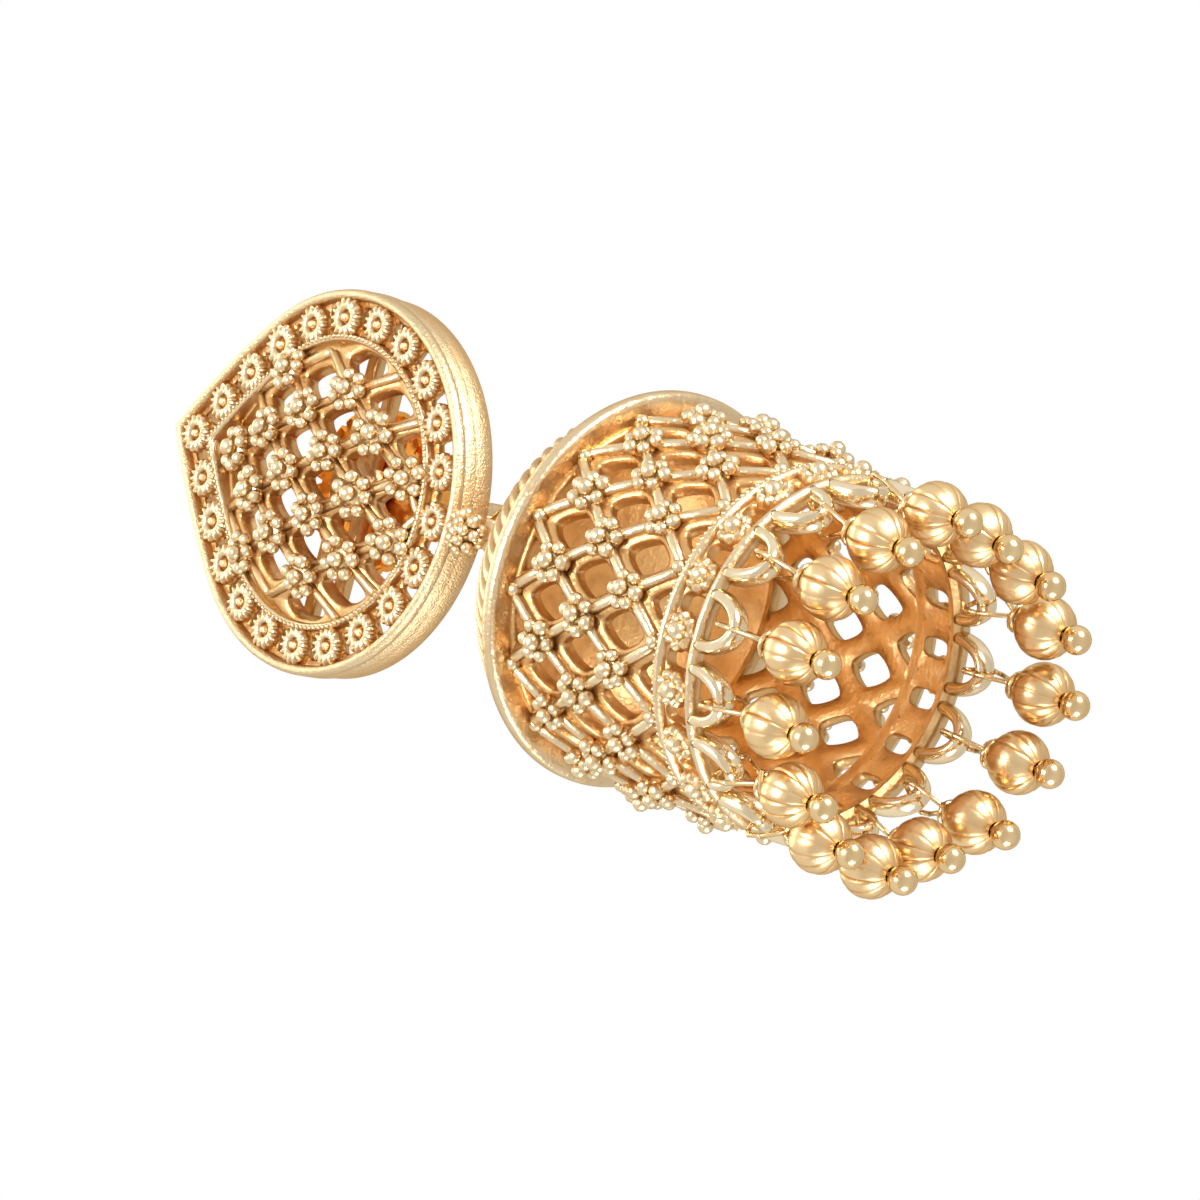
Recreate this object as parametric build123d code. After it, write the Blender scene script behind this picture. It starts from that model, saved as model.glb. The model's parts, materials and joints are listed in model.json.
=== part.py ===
"""Jhumka drop earring: ear stud, jump ring, openwork bell with bead drops, and clutch.

Millimetres. +Z is up, the stud faces -Y and its post points along +Y. The origin is on the
post's axis, in the plane of the stud's open back, where the ear lobe sits. The bell hangs
straight down from a bail behind the foot of the stud.
"""
import os
from math import acos, atan2, cos, degrees, pi, radians, sin, sqrt

from build123d import *

# ---- driving dimensions -------------------------------------------------------------------
# ear stud: a teardrop of a round lobe and two long side arcs that meet in a cusp on top
lobe_radius = 7.53            # line through the rosettes, round part
side_radius = 35.8            # the same line, long side arcs
tangent_angle = radians(134.8)  # where lobe and side arc meet, from straight down
rim_out = 1.37                # outer edge, outside that line
rim_wall = 0.55
rim_step = 0.12               # the rim's back half stands in by this much
rim_depth = 2.0
sink = 0.1                    # how far a raised piece reaches into what carries it
border_depth = 0.5            # front plate of the border
rail_out, rail_in = -0.72, -1.05  # inner rail, inside that line
rail_rise = 0.35
rosettes = 22
rosette_radius = 0.82
rosette_rise = 0.3
field_radius = 19.0           # ball that the domed field is part of
field_rise = 1.1              # field's crown above the border
field_wall = 0.8
net_half_x, net_half_z = 1.43, 2.38   # half diagonals of the stud's net
net_first_z = 1.69            # height of the middle row of crossings
strip = 0.4                   # half width of a strip of the stud's net
rod_radius = 0.3              # wires on the net
cluster_foot, cluster_top, cluster_height = 0.95, 0.6, 1.2  # granules on a crossing, as one boss
cluster_sink = 0.3
cluster_room = 0.55           # from the last crossings to the rail
least_hole = 0.45             # area of the smallest opening that is cut
hole_margin = 0.05            # from the openings to the rail
bar_height, bar_depth = 0.72, 0.6     # two crossbars behind the field
bar_offset = 0.82             # of each from the post's axis
pad_radius = 1.62             # round pad between the bars, which the post stands on
post_radius = 0.4
post_length = 12.0
notch_from_tip, notch_width, notch_depth = 2.0, 0.7, 0.08  # round groove that grips the clutch

# bail, jump ring and the bell's eye
hang_y = 1.0                  # bell axis, behind the stud's back
hang_z = -8.2                 # wire of the jump ring, where it hangs in the bail
bail_hole = 0.75
bail_drop = 0.05              # bail's middle above that wire
bail_wall = 0.4
bail_width = 1.4
bail_foot_depth, bail_foot_y = 0.9, -0.15
ring_radius = 1.35
wire_radius = 0.32
eye_radius = 1.05
eye_wire = 0.35
eye_play = 0.1                # clearance of the eye in the ring
stem_foot, stem_top, stem_height = 0.9, 0.45, 0.35  # between the eye and the dome
flower_y, flower_z, flower_radius, flower_thick = -2.3, -9.55, 1.1, 0.9

# bell, heights are Z
apex_z = -12.35
flange_z = -18.65             # middle of the flange
flange_steps = ((8.6, 0.5), (8.85, 0.35), (9.0, 0.15), (9.0, -0.15), (8.8, -0.35))  # radius, height
dome_radius, dome_height = 8.5, 5.2
dome_foot_radius = 3.75       # where the upper dome's step ring stands
dome_wall = 0.8
flutes, cap_flutes = 60, 36
flute_depth, cap_flute_depth = 0.28, 0.16
flute_twist = 9.0             # degrees, either way, of the wide dome's S-shaped flutes
apex_cut, edge_cut = 0.03, 0.1  # flutes run out at the apex and at the wide dome's two edges
dome_steps = 6
cap_steps = ((1.9, 0.32), (2.8, 0.75), (3.3, 1.15))  # radius, depth under the apex
collar_steps = ((3.35, 0.3), (3.55, 0.42), (3.75, 0.3), (3.78, 0.0), (4.3, -0.22))  # radius, height
dome_top_turn, dome_foot_turn = 57, 8  # degrees above the flange, where the wide dome begins and ends
hollow_turns = (0, 25, 45, 60, 72)     # degrees, rings of the dome's hollow
hollow_lift = 0.1             # hollow's foot above the flange
net_top_z = -19.0
net_sectors = 15
net_row = 2.45                # height between two rows of crossings
net_rows = 4
bell_strip = 0.5              # half width of a strip of the bell's net
wall_radius, wall_thick = 7.85, 0.85
wall_bulge = 0.12
boss_foot, boss_crown = 0.8, 0.62      # radii of a granule cluster on a crossing, as one boss
foot_rise, crown_rise, tip_rise = 0.1, 0.85, 1.15  # its heights over the wall
corner_cut = 0.3              # share of a hole's side cut off at each of its corners
rail_width = 0.35
rail_bump = 0.35
window_height = 1.7           # of the openings between the band's rosettes
band_top_z = net_top_z - net_rows * net_row - rail_width
web_half = 0.74               # half width of the web that carries a band rosette
band_rosettes = 20
band_rosette_foot, band_rosette_crown = 0.66, 0.52
band_rosette_rise, band_rosette_tip = 0.4, 0.55
loop_half, loop_height, loop_thick = 0.82, 1.35, 0.62
loop_sink = 0.15
loop_in, loop_out = 6.95, 8.3
rail_sides = 60

# drops
drop_radius = 7.6             # where the drops hang, from the bell's axis
pin_wire = 0.15
bead_radius, bead_half_height = 1.42, 1.32
bead_flutes, bead_groove = 10, 0.12
bead_turns = (76, 52, 27, 0, -27, -52, -76)  # degrees, rings from hole to hole
ball_radius = 0.66
loop_wire_half = 0.95
loop_bend = 0.2
bar_lift, knee_drop = 0.06, 0.1   # of the wire loop, inside and under the mouth's loop
knot_drop, neck = 1.35, 0.62      # from the loop's knees to the knot, and on to the bead
ball_lift = 0.04                  # ball's seat in the bead's lower hole
stem_lap = 0.3
wrap_radius = 0.28
wrap_drops = (0.15, 0.46)     # of the two wraps, under the knot

# clutch
clutch_gap = 0.4              # from the stud's back
clutch_bore = 0.46
disc_radius, disc_thick, disc_teeth = 3.83, 1.03, 30
disc_bevel = 0.2
notch_wide, notch_deep = 0.42, 0.2     # between two teeth
barrel_steps = ((1.84, 0.0), (1.54, 0.25), (1.58, 1.3), (1.48, 2.0), (1.19, 3.7), (1.29, 3.95),
                (1.26, 4.3))  # radius, distance from the disc

upright = (Align.CENTER, Align.CENTER, Align.MIN)  # a round piece stands on its foot

os.makedirs("parts", exist_ok=True)


def save(shape, name):
    """Write one node, as a single solid, to its STEP file."""
    solids = shape.solids()
    body = solids[0] if len(solids) == 1 else Compound(solids)
    export_step(body, f"parts/{name}.step")
    print(name, len(solids), round(sum(s.volume for s in solids), 3))


def polyhedron(triangles):
    """Closed solid from a list of triangles, each three points."""
    faces = []
    for corners in triangles:
        a, b, c = (Vector(*corner) for corner in corners)
        if (b - a).cross(c - a).length > 1e-7:
            faces.append(Face(Wire.make_polygon([a, b, c], close=True)))
    solid = Solid(Shell(faces))
    return solid if solid.volume > 0 else Solid(Shell([-face for face in faces]))


# ---- ear stud -----------------------------------------------------------------------------
def side_centre():
    reach = side_radius - lobe_radius
    return -reach * sin(tangent_angle), reach * cos(tangent_angle)


def cusp_height(offset):
    x, z = side_centre()
    return z + sqrt((side_radius + offset) ** 2 - x * x)


def teardrop(offset):
    """Teardrop face, offset outwards from the rosettes' line, in the XZ plane's own axes."""
    low, side = lobe_radius + offset, side_radius + offset
    x, z = side_centre()
    tangent = (low * sin(tangent_angle), -low * cos(tangent_angle))
    start = atan2(tangent[1] - z, tangent[0] - x)
    end = atan2(cusp_height(offset) - z, -x)
    middle = (x + side * cos((start + end) / 2), z + side * sin((start + end) / 2))
    cusp = (0, cusp_height(offset))
    edges = [
        ThreePointArc(tangent, (0, -low), (-tangent[0], tangent[1])),
        ThreePointArc((-tangent[0], tangent[1]), (-middle[0], middle[1]), cusp),
        ThreePointArc(cusp, middle, tangent),
    ]
    return make_face(edges)


def rosette_places():
    """Points spaced evenly round the rosettes' line, the first at the cusp."""
    x, z = side_centre()
    end = pi / 2 + atan2(cusp_height(0) - z, -x)
    low_arc = lobe_radius * tangent_angle
    half = low_arc + side_radius * (end - tangent_angle)
    places = []
    for index in range(rosettes):
        run = half * abs(1 - 2 * index / rosettes)
        turn = run / lobe_radius if run < low_arc else tangent_angle + (run - low_arc) / side_radius
        if run < low_arc:
            point = (lobe_radius * sin(turn), -lobe_radius * cos(turn))
        else:
            point = (x + side_radius * sin(turn), z - side_radius * cos(turn))
        places.append((point[0] if index < rosettes / 2 else -point[0], point[1]))
    return places


def slab(face, front, back):
    """Face drawn in X and Z, made solid from y = front to y = back."""
    return extrude(Plane.XZ.offset(-back) * face, back - front)


def field_y(x, z):
    """Outer surface of the domed field."""
    crown = -rim_depth - field_rise
    return crown + field_radius - sqrt(field_radius ** 2 - x * x - z * z)


def crossings():
    """Net crossings of the field, as column and row numbers."""
    cells = []
    for row in range(-3, 3):
        for column in range(-4, 5):
            if (row + column) % 2 == 0 and inside_field(column * net_half_x, row_z(row), cluster_room):
                cells.append((column, row))
    return cells


def row_z(row):
    return net_first_z + row * net_half_z


def inside_field(x, z, margin):
    limit = rail_in - margin
    if z < 0 or atan2(abs(x), -z) < tangent_angle:
        return x * x + z * z < (lobe_radius + limit) ** 2
    cx, cz = side_centre()
    return (abs(x) - cx) ** 2 + (z - cz) ** 2 < (side_radius + limit) ** 2


def field_holes():
    """Diamond openings of the field, clipped by its rail."""
    slope = net_half_x * net_half_z / sqrt(net_half_x ** 2 + net_half_z ** 2)
    keep = 1 - strip / slope
    field = teardrop(rail_in - hole_margin)
    holes = []
    for row in range(-4, 4):
        for column in range(-5, 6):
            if (row + column) % 2 == 0:
                continue
            x, z = column * net_half_x, row_z(row)
            half_x, half_z = net_half_x * keep, net_half_z * keep
            corners = [(x + half_x, z), (x, z + half_z), (x - half_x, z), (x, z - half_z)]
            hole = make_face(Polyline(*corners, close=True)) & field
            if hole is not None and hole.area > least_hole:
                holes.append(hole)
    return holes


def on_field(x, z, rise):
    """Point of the field's surface, raised along its normal, and that normal."""
    point = Vector(x, field_y(x, z), z)
    centre = Vector(0, field_radius - rim_depth - field_rise, 0)
    normal = (point - centre).normalized()
    return point + normal * rise, normal


def make_stud():
    border_front = -rim_depth
    body = slab(teardrop(rim_out) - teardrop(rim_out - rim_wall), -rim_depth, -rim_depth / 2)
    body += slab(teardrop(rim_out - rim_step) - teardrop(rim_out - rim_wall), -rim_depth / 2, 0)
    body += slab(teardrop(rim_out) - teardrop(rail_in), border_front, border_front + border_depth)
    body += slab(teardrop(rail_out) - teardrop(rail_in), border_front - rail_rise, border_front)
    for x, z in rosette_places():
        disc = Plane((x, border_front, z), x_dir=(1, 0, 0), z_dir=(0, -1, 0))
        body += disc * Pos(0, 0, -sink) * Cylinder(rosette_radius, rosette_rise + sink, align=upright)

    crown = -rim_depth - field_rise
    centre = Pos(0, crown + field_radius, 0)
    shell = centre * Sphere(field_radius) - centre * Sphere(field_radius - field_wall)
    field = shell & slab(teardrop(rail_in + sink), 2 * crown, 0)
    for hole in field_holes():
        field -= slab(hole, 2 * crown, rim_depth)
    places = crossings()
    for column, row in places:
        for step in (-1, 1):
            start, _ = on_field(column * net_half_x, row_z(row), sink)
            x, z = (column + step) * net_half_x, row_z(row + 1)
            if (column + step, row + 1) in places:
                end, _ = on_field(x, z, sink)
                way = end - start
                field += Plane(start, z_dir=way) * Cylinder(rod_radius, way.length, align=upright)
    for column, row in places:
        foot, normal = on_field(column * net_half_x, row_z(row), -cluster_sink)
        field += Plane(foot, z_dir=normal) * Cone(cluster_foot, cluster_top, cluster_height,
                                                  align=upright)
    body += field

    inner = lobe_radius + rim_out - rim_wall
    for z in (-bar_offset, bar_offset):
        body += Pos(0, -bar_depth / 2, z) * Box(2 * (inner + sink), bar_depth, bar_height)
    base = Plane((0, -bar_depth, 0), z_dir=(0, 1, 0))
    body += base * Cylinder(pad_radius, bar_depth, align=upright)
    body += base * Cylinder(post_radius, post_length + bar_depth, align=upright)
    groove = (notch_width ** 2 / 4 + notch_depth ** 2) / (2 * notch_depth)
    notch = Torus(post_radius - notch_depth + groove, groove)
    body -= Plane((0, post_length - notch_from_tip - notch_width / 2, 0), z_dir=(0, 1, 0)) * notch

    bail_z = hang_z + bail_drop
    side = Plane((-bail_width / 2, hang_y, bail_z), x_dir=(0, 1, 0), z_dir=(1, 0, 0))
    outer = Cylinder(bail_hole + bail_wall, bail_width, align=upright)
    foot_z = -(lobe_radius + rim_out - rim_step) + rim_wall / 2
    foot = Pos(0, bail_foot_y, foot_z) * Box(bail_width, bail_foot_depth, rim_wall - sink)
    hole = Cylinder(bail_hole, bail_width, align=upright)
    body += (side * outer + foot) - side * hole

    flower = Plane((0, flower_y, flower_z), x_dir=(1, 0, 0), z_dir=(0, 1, 0))
    body += flower * Cylinder(flower_radius, flower_thick, align=upright)
    return body


# ---- bell ---------------------------------------------------------------------------------
# Points on the bell are (angle in degrees round its axis, radius, z).
def spot(point):
    angle, radius, z = point
    return (radius * cos(radians(angle)), hang_y + radius * sin(radians(angle)), z)


def circle(count, radius, z):
    return [(360 * index / count, radius, z) for index in range(count)]


def fluted(count, radius, z, cut, twist=0.0):
    """Ring of ridges and grooves by turns."""
    return [(twist + 180 * index / count, radius - cut * (index % 2), z) for index in range(2 * count)]


def quad(a, b, c, d):
    return [(a, b, c), (a, c, d)]


def turned(ring, first):
    """The ring begun at its point nearest to the angle first, with its angles unrolled."""
    start = min(range(len(ring)), key=lambda k: abs((ring[k][0] - first + 180) % 360 - 180))
    ring = ring[start:] + ring[:start]
    angles = [(ring[0][0] - first + 180) % 360 - 180]
    for before, after in zip(ring, ring[1:] + ring[:1]):
        angles.append(angles[-1] + (after[0] - before[0]) % 360)
    return ring + ring[:1], angles


def stitch(upper, lower):
    """Triangles between two closed rings, which may differ in their number of points."""
    top, top_angles = turned(upper, upper[0][0])
    low, low_angles = turned(lower, upper[0][0])
    triangles, i, j = [], 0, 0
    while i < len(top) - 1 or j < len(low) - 1:
        ends = j == len(low) - 1
        if ends or (i < len(top) - 1 and top_angles[i + 1] <= low_angles[j + 1]):
            triangles.append((top[i], low[j], top[i + 1]))
            i += 1
        else:
            triangles.append((top[i], low[j], low[j + 1]))
            j += 1
    return triangles


def skin(rings):
    """Triangles down a list of rings, each stitched to the next."""
    triangles = []
    for upper, lower in zip(rings, rings[1:]):
        triangles += stitch(upper, lower)
    return triangles


def lid(ring):
    centre = (0.0, 0.0, ring[0][2])
    return [(centre, a, b) for a, b in zip(ring, ring[1:] + ring[:1])]


def dome_rings():
    """Outer skin of the two domes and the flange, from the apex down."""
    dome_top = flange_z + dome_height * sin(acos(dome_foot_radius / dome_radius))
    rings = [fluted(cap_flutes, stem_foot, apex_z, apex_cut)]
    for radius, drop in cap_steps:
        rings.append(fluted(cap_flutes, radius, apex_z - drop, cap_flute_depth))
    for radius, rise in collar_steps:
        rings.append(circle(flutes, radius, dome_top + rise))
    for step in range(dome_steps + 1):
        turn = radians(dome_top_turn + (dome_foot_turn - dome_top_turn) * step / dome_steps)
        cut = edge_cut if step in (0, dome_steps) else flute_depth
        twist = flute_twist * cos(pi * step / dome_steps)
        rings.append(fluted(flutes, dome_radius * cos(turn), flange_z + dome_height * sin(turn),
                            cut, twist))
    for radius, rise in flange_steps:
        rings.append(circle(flutes, radius, flange_z + rise))
    return rings


def hollow_rings():
    """Inner skin of the dome, from its foot up."""
    rings = []
    for turn in hollow_turns:
        radius = (wall_radius - wall_thick) * cos(radians(turn))
        height = (dome_height - dome_wall) * sin(radians(turn))
        rings.append(circle(2 * net_sectors, radius, flange_z + hollow_lift + height))
    return rings


def wall_at(z):
    """Outer radius of the net's wall, a slight barrel."""
    half = net_rows * net_row / 2
    return wall_radius + wall_bulge * (1 - ((z - net_top_z + half) / half) ** 2)


# The net is laid out flat, as complex numbers: arc length along the wall, height up it.
half_u = pi * wall_radius / net_sectors
net_edge = sqrt(half_u ** 2 + net_row ** 2)
hole_share = 1 - bell_strip / (half_u * net_row / net_edge)


def outside(flat, rise=0.0):
    return (degrees(flat.real / wall_radius), wall_at(flat.imag) + rise, flat.imag)


def inside(flat):
    return (degrees(flat.real / wall_radius), wall_radius - wall_thick, flat.imag)


def toward(start, end, reach):
    return start + (end - start) / abs(end - start) * reach


def net_cell(level, sector):
    """One diamond of the net: half of each rod round it, a quarter of each cluster, its hole."""
    centre = half_u * (2 * sector + (level + 1) % 2) + 1j * (net_top_z - level * net_row)
    arms = [half_u, 1j * net_row, -half_u, -1j * net_row]
    corners = {0: [2, 3, 0], net_rows: [0, 1, 2]}.get(level, [0, 1, 2, 3])
    whole = len(corners) == 4
    ends = [centre + arms[k] for k in corners]
    tips = [centre + arms[k] * hole_share for k in corners]
    count = len(corners)
    outer, inner, walls = [], [], []
    before, after = list(tips), list(tips)
    for k in range(count):
        if whole or k == 1:
            before[k] = tips[k] + (tips[k - 1] - tips[k]) * corner_cut
            after[k] = tips[k] + (tips[(k + 1) % count] - tips[k]) * corner_cut
    for k in range(count if whole else 2):
        n = (k + 1) % count
        ridge = outside(toward(ends[k], ends[n], boss_foot), rod_radius)
        ridge_end = outside(toward(ends[n], ends[k], boss_foot), rod_radius)
        outer += quad(ridge, ridge_end, outside(before[n]), outside(after[k]))
        inner += quad(inside(ends[k]), inside(ends[n]), inside(before[n]), inside(after[k]))
        walls += quad(outside(after[k]), outside(before[n]), inside(before[n]), inside(after[k]))
    for k in range(count):
        end, low, high = ends[k], outside(before[k]), outside(after[k])
        into = outside(toward(end, ends[k - 1], boss_foot), rod_radius)
        leave = outside(toward(end, ends[(k + 1) % count], boss_foot), rod_radius)
        top = outside(end, rod_radius)
        if not whole and k != 1:
            outer.append((top, low, leave) if k == 0 else (top, into, low))
            continue
        web = outside(toward(end, centre, boss_foot), foot_rise)
        outer += [(into, low, web), (web, low, high), (web, high, leave)]
        inner.append((inside(end), inside(before[k]), inside(after[k])))
        walls += quad(low, high, inside(after[k]), inside(before[k]))
        row = round((net_top_z - end.imag) / net_row)
        if 0 < row < net_rows:
            crown_in = outside(toward(end, ends[k - 1], boss_crown), crown_rise)
            crown_out = outside(toward(end, ends[(k + 1) % count], boss_crown), crown_rise)
            crown_web = outside(toward(end, centre, boss_crown), crown_rise)
            tip = outside(end, tip_rise)
            outer += quad(into, web, crown_web, crown_in) + quad(web, leave, crown_out, crown_web)
            outer += [(tip, crown_in, crown_web), (tip, crown_web, crown_out)]
        else:
            outer += [(top, into, web), (top, web, leave)]
    if not whole:
        walls += quad(outside(tips[0]), outside(tips[-1]), inside(tips[-1]), inside(tips[0]))
    return outer + inner + walls


def net_border(level, place, rise):
    """The net's top or bottom edge as a ring: a crossing and two hole corners by turns."""
    ring = []
    for sector in range(net_sectors):
        start = 2 * half_u * sector + 1j * (net_top_z - level * net_row)
        ring.append(place(start, rise) if rise else place(start))
        ring.append(place(start + half_u * (1 - hole_share)))
        ring.append(place(start + half_u * (1 + hole_share)))
    return ring


def band():
    """Rosettes and windows between the two rails at the mouth, with both rings of its edges."""
    top, low = band_top_z, band_top_z - window_height
    pitch = 360 / band_rosettes
    half = degrees(web_half / wall_radius)
    outer_r, inner_r = wall_radius, wall_radius - wall_thick
    triangles, edges = [], {"top": [], "low": [], "top_in": [], "low_in": []}
    for index in range(band_rosettes):
        middle = pitch * index
        left, right, nearby = middle - half, middle + half, middle + pitch - half
        corners = [(right, outer_r, top), (left, outer_r, top), (left, outer_r, low), (right, outer_r, low)]
        foot, crown = [], []
        for k in range(8):
            turn = pi * k / 4
            for ring, size, rise in ((foot, band_rosette_foot, 0.0),
                                     (crown, band_rosette_crown, band_rosette_rise)):
                ring.append((middle + degrees(size * cos(turn) / wall_radius), outer_r + rise,
                             (top + low) / 2 + size * sin(turn)))
        tip = (middle, outer_r + band_rosette_tip, (top + low) / 2)
        for k in range(8):
            n = (k + 1) % 8
            triangles += quad(foot[k], foot[n], crown[n], crown[k]) + [(crown[k], crown[n], tip)]
        for k, corner in enumerate(corners):
            a, b, c = foot[2 * k], foot[2 * k + 1], foot[(2 * k + 2) % 8]
            triangles += [(corner, a, b), (corner, b, c), (corner, corners[(k + 1) % 4], c)]
        triangles += quad((left, inner_r, top), (right, inner_r, top),
                          (right, inner_r, low), (left, inner_r, low))
        for side in (left, right):
            triangles += quad((side, outer_r, top), (side, inner_r, top),
                              (side, inner_r, low), (side, outer_r, low))
        for z in (top, low):
            triangles += quad((right, outer_r, z), (nearby, outer_r, z),
                              (nearby, inner_r, z), (right, inner_r, z))
        for side in (left, right):
            edges["top"].append((side, outer_r, top))
            edges["low"].append((side, outer_r, low))
            edges["top_in"].append((side, inner_r, top))
            edges["low_in"].append((side, inner_r, low))
    return triangles, edges


def rail_rings(top_z):
    """A raised rail round the wall, one rail width high."""
    return [circle(rail_sides, wall_radius + rail_bump, top_z - rail_width * share)
            for share in (0.25, 0.75)]


def make_bell():
    band_triangles, edges = band()
    triangles = lid(dome_rings()[0]) + skin(dome_rings() + [net_border(0, outside, rod_radius)])
    for level in range(net_rows + 1):
        for sector in range(net_sectors):
            triangles += net_cell(level, sector)
    net_low_z = net_top_z - net_rows * net_row
    triangles += skin([net_border(net_rows, outside, rod_radius)] + rail_rings(net_low_z)
                      + [edges["top"]])
    triangles += band_triangles
    mouth_z = band_top_z - window_height - rail_width
    triangles += skin([edges["low"]] + rail_rings(mouth_z + rail_width)
                      + [circle(rail_sides, wall_radius, mouth_z),
                         circle(rail_sides, wall_radius - wall_thick, mouth_z), edges["low_in"]])
    triangles += skin([edges["top_in"], net_border(net_rows, inside, 0)])
    hollow = hollow_rings()
    triangles += skin([net_border(0, inside, 0)] + hollow) + lid(hollow[-1])
    body = polyhedron([[spot(corner) for corner in triangle] for triangle in triangles])
    loops = [mouth_loop(360 * (index + 0.5) / net_sectors, mouth_z) for index in range(net_sectors)]
    body = body.fuse(*loops)
    eye_z = hang_z - 2 * ring_radius - (eye_radius - eye_wire - wire_radius) + eye_play
    eye = Plane((0, hang_y, eye_z), z_dir=(1, 0, 0)) * Torus(eye_radius, eye_wire)
    stem = Pos(0, hang_y, apex_z - sink) * Cone(stem_foot - sink, stem_top, stem_height,
                                               align=upright)
    return body + eye + stem


def mouth_loop(angle, mouth_z):
    """Arch of thick strip under the mouth, which a drop hangs in."""
    def arch(half, height):
        turns = [pi * k / 8 for k in range(9)]
        return [(half * cos(turn), loop_sink - height * sin(turn)) for turn in turns]

    points = arch(loop_half + loop_thick, loop_height + loop_thick + loop_sink)
    points += arch(loop_half, loop_height + loop_sink)[::-1]
    face = make_face(Polyline(*points, close=True))
    plane = Plane((0, hang_y, mouth_z), x_dir=(-sin(radians(angle)), cos(radians(angle)), 0),
                  z_dir=(cos(radians(angle)), sin(radians(angle)), 0))
    placed = plane.offset(loop_in) * face
    return extrude(placed, loop_out - loop_in, dir=plane.z_dir)


# ---- drops --------------------------------------------------------------------------------
loop_floor_z = band_top_z - window_height - rail_width - loop_height
bar_z = loop_floor_z + pin_wire + bar_lift
knee_z = loop_floor_z - loop_thick - knee_drop
knot_z = knee_z - knot_drop
bead_z = knot_z - neck - bead_half_height
ball_z = bead_z - bead_half_height - ball_radius + ball_lift


def make_bead():
    """Melon bead, ridged and drilled, with its centre at the origin."""
    rings = []
    for turn in bead_turns:
        radius, z = bead_radius * cos(radians(turn)), bead_half_height * sin(radians(turn))
        cut = 0.0 if abs(turn) == bead_turns[0] else bead_groove * cos(radians(turn))
        rings.append(fluted(bead_flutes, radius, z, cut))
    triangles = skin(rings + rings[:1])
    return polyhedron([[(r * cos(radians(a)), r * sin(radians(a)), z) for a, r, z in triangle]
                       for triangle in triangles])


def make_pin():
    """Ball-ended wire of a drop, with its loop in the XZ plane and the wire on the Z axis."""
    points = [(-loop_wire_half, 0, bar_z), (loop_wire_half, 0, bar_z), (loop_wire_half, 0, knee_z),
              (0, 0, knot_z), (-loop_wire_half, 0, knee_z)]
    path = FilletPolyline(*points, radius=loop_bend, close=True)
    section = Plane((0, 0, bar_z), z_dir=(1, 0, 0)) * Circle(pin_wire)
    pin = sweep(section, path=path)
    low_end = Pos(0, 0, ball_z)
    pin += low_end * Cylinder(pin_wire, knot_z + stem_lap - ball_z, align=upright)
    pin += low_end * Sphere(ball_radius)
    for drop in wrap_drops:
        pin += Pos(0, 0, knot_z - drop) * Torus(wrap_radius, pin_wire)
    return pin


# ---- clutch -------------------------------------------------------------------------------
def make_clutch():
    """Toothed disc and turned barrel on the post, bored through."""
    profile = [(clutch_bore, 0), (disc_radius, 0), (disc_radius, disc_thick - disc_bevel)]
    profile += [(radius, disc_thick + rise) for radius, rise in barrel_steps]
    profile += [(clutch_bore, disc_thick + barrel_steps[-1][1])]
    turned_part = revolve(make_face(Polyline(*profile, close=True)), Axis.Y)
    notch = Box(notch_wide, disc_thick * 3, 2 * notch_deep)
    for index in range(disc_teeth):
        turn = 360 * index / disc_teeth
        turned_part -= Rot(0, turn, 0) * Pos(0, 0, disc_radius) * notch
    return Pos(0, clutch_gap, 0) * turned_part


# ---- whole earring ------------------------------------------------------------------------
save(make_stud(), "stud")
ring_z = hang_z - ring_radius
save(Plane((0, hang_y, ring_z), z_dir=(0, 1, 0)) * Torus(ring_radius, wire_radius), "link_ring")
save(make_bell(), "bell")
bead, pin = make_bead(), make_pin()
for index in range(net_sectors):
    angle = 360 * (index + 0.5) / net_sectors
    hung = Pos(drop_radius * cos(radians(angle)), hang_y + drop_radius * sin(radians(angle)), 0)
    hung *= Rot(0, 0, angle)
    save(hung * pin, f"drop_pin_{index + 1:02d}")
    save(hung * Pos(0, 0, bead_z) * bead, f"drop_bead_{index + 1:02d}")
save(make_clutch(), "clutch")
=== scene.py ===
"""Jhumka drop earring in satin gold plate: stud, jump ring, openwork bell with bead drops, clutch."""
import json
import random
from math import acos, atan2, cos, hypot, pi, radians, sin, sqrt, tau

import bmesh
import bpy
from mathutils import Matrix, Vector


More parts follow.
